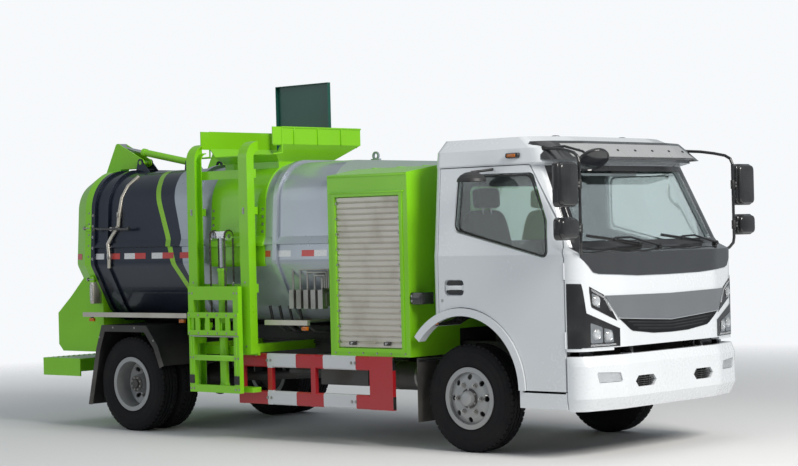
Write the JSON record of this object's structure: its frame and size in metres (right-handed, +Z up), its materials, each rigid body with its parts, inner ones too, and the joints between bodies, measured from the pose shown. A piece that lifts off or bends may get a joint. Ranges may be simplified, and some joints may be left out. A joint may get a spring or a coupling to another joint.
{
  "type": "side-loading food waste collection truck",
  "caption": "Light forward-control truck with a waste tank, feed hopper, side bin lift, equipment locker and hinged tailgate.",
  "frame": {"origin": "on the ground, under the middle of the truck's bounding box", "axes": "+X forward along the truck, +Y to its left, +Z up"},
  "size_m": [6.16, 2.5, 2.91],
  "materials": {
    "cab_paint": "gloss white",
    "green_paint": "gloss lime green",
    "lid_paint": "satin dark green",
    "tank_paint": "silver and dark blue with a green stripe",
    "chassis_paint": "satin black",
    "guard_paint": "red with pale patches",
    "rim_paint": "silver grey",
    "tyre_rubber": "matt",
    "glass": "clear",
    "black_plastic": "grained",
    "dash_plastic": "grained",
    "seat_fabric": "woven",
    "nose_trim": "metallic grey",
    "lamp_housing": "dark with clear lenses",
    "lamp_lens": "red",
    "spring_steel": "satin",
    "cast_metal": "cast",
    "tank_aluminium": "brushed",
    "bare_aluminium": "satin",
    "shutter_aluminium": "satin",
    "chain_steel": "oiled",
    "rod_steel": "polished"
  },
  "bodies": {
    "chassis": {"ladder_frame": "chassis_paint", "subframe": "chassis_paint", "axles": "chassis_paint", "leaf_springs": "spring_steel", "driveline": "cast_metal", "fuel_and_air_tanks": "tank_aluminium", "side_guards": "guard_paint", "mudguards": "black_plastic", "marker_rails": "bare_aluminium", "equipment_locker": "green_paint", "roller_shutters": "shutter_aluminium", "tank_shell": "tank_paint", "hopper": "green_paint", "lift_frame": "green_paint", "lift_chains": "chain_steel", "rear_step": "green_paint", "rear_lamps": "lamp_lens", "valves_and_pipes": "cast_metal"},
    "cab": {"cab_shell": "cab_paint", "windscreens": "glass", "headlamps": "lamp_housing", "nose_panels": "nose_trim", "front_bumper": "cab_paint", "sun_visor": "black_plastic", "mirrors": "black_plastic", "seats": "seat_fabric", "dashboard": "dash_plastic"},
    "door_left": {"door_left": "cab_paint", "door_glass_left": "glass"},
    "door_right": {"door_right": "cab_paint", "door_glass_right": "glass", "kerb_mirror": "black_plastic"},
    "knuckle_left": {"knuckle_left": "chassis_paint"},
    "knuckle_right": {"knuckle_right": "chassis_paint"},
    "tie_rod": {"tie_rod": "chassis_paint"},
    "wheel_front_left": {"tyre_front_left": "tyre_rubber", "rim_front_left": "rim_paint"},
    "wheel_front_right": {"tyre_front_right": "tyre_rubber", "rim_front_right": "rim_paint"},
    "wheels_rear_left": {"tyres_rear_left": "tyre_rubber", "rims_rear_left": "rim_paint"},
    "wheels_rear_right": {"tyres_rear_right": "tyre_rubber", "rims_rear_right": "rim_paint"},
    "tailgate": {"tailgate": "green_paint"},
    "gate_barrels": {"gate_barrels": "green_paint"},
    "gate_rods": {"gate_rods": "rod_steel"},
    "hopper_lid": {"hopper_lid": "lid_paint"},
    "lift_crosshead": {"lift_crosshead": "rod_steel"},
    "lift_carriage": {"lift_carriage": "green_paint"}
  },
  "joints": [
    {"name": "cab_tilt", "type": "hinge", "parent": "chassis", "child": "cab", "pos_m": [2.96, 0, 0.56], "axis": [0, 1, 0], "range_deg": [0, 45]},
    {"name": "door_left_hinge", "type": "hinge", "parent": "cab", "child": "door_left", "pos_m": [2.838, 1, 1.1], "axis": [0, 0, -1], "range_deg": [0, 68]},
    {"name": "door_right_hinge", "type": "hinge", "parent": "cab", "child": "door_right", "pos_m": [2.838, -1, 1.1], "axis": [0, 0, 1], "range_deg": [0, 68]},
    {"name": "steer_left", "type": "hinge", "parent": "chassis", "child": "knuckle_left", "pos_m": [1.88, 0.69, 0.38], "axis": [0, 0, 1], "range_deg": [-32, 32]},
    {"name": "steer_right", "type": "hinge", "parent": "chassis", "child": "knuckle_right", "pos_m": [1.88, -0.69, 0.38], "axis": [0, 0, 1], "range_deg": [-32, 32]},
    {"name": "tie_rod_slide", "type": "slide", "parent": "chassis", "child": "tie_rod", "axis": [0, 1, 0], "range_m": [-0.0797, 0.0797]},
    {"name": "wheel_front_left_spin", "type": "hinge", "parent": "knuckle_left", "child": "wheel_front_left", "pos_m": [1.88, 0.84, 0.4025], "axis": [0, 1, 0], "continuous": true},
    {"name": "wheel_front_right_spin", "type": "hinge", "parent": "knuckle_right", "child": "wheel_front_right", "pos_m": [1.88, -0.84, 0.4025], "axis": [0, 1, 0], "continuous": true},
    {"name": "wheels_rear_left_spin", "type": "hinge", "parent": "chassis", "child": "wheels_rear_left", "pos_m": [-1.82, 0.815, 0.4025], "axis": [0, 1, 0], "continuous": true},
    {"name": "wheels_rear_right_spin", "type": "hinge", "parent": "chassis", "child": "wheels_rear_right", "pos_m": [-1.82, -0.815, 0.4025], "axis": [0, 1, 0], "continuous": true},
    {"name": "tailgate_hinge", "type": "hinge", "parent": "chassis", "child": "tailgate", "pos_m": [-2.06, 0, 2.315], "axis": [0, 1, 0], "range_deg": [0, 60]},
    {"name": "gate_barrel_swing", "type": "hinge", "parent": "chassis", "child": "gate_barrels", "pos_m": [-1.45, 0, 2.29], "axis": [0, 1, 0], "range_deg": [0, 19.38]},
    {"name": "gate_rod_slide", "type": "slide", "parent": "gate_barrels", "child": "gate_rods", "axis": [-0.983, 0, 0.1838], "range_m": [-0.2004, 0]},
    {"name": "hopper_lid_hinge", "type": "hinge", "parent": "chassis", "child": "hopper_lid", "pos_m": [-0.475, -0.2, 2.286], "axis": [1, 0, 0], "range_deg": [0, 90]},
    {"name": "crosshead_lift", "type": "slide", "parent": "chassis", "child": "lift_crosshead", "axis": [0, 0, 1], "range_m": [0, 0.525], "deforming": ["lift_chains"]},
    {"name": "carriage_lift", "type": "slide", "parent": "lift_crosshead", "child": "lift_carriage", "axis": [0, 0, 1], "range_m": [0, 0.525]}
  ],
  "couplings": [
    {"joint": "steer_right", "follows": "steer_left", "ratio": 1},
    {"joint": "tie_rod_slide", "follows": "steer_left", "m_per_rad": -0.14232},
    {"joint": "gate_barrel_swing", "follows": "tailgate_hinge", "ratio": 0.32215},
    {"joint": "gate_rod_slide", "follows": "tailgate_hinge", "m_per_rad": -0.19117},
    {"joint": "carriage_lift", "follows": "crosshead_lift", "ratio": 1}
  ]
}
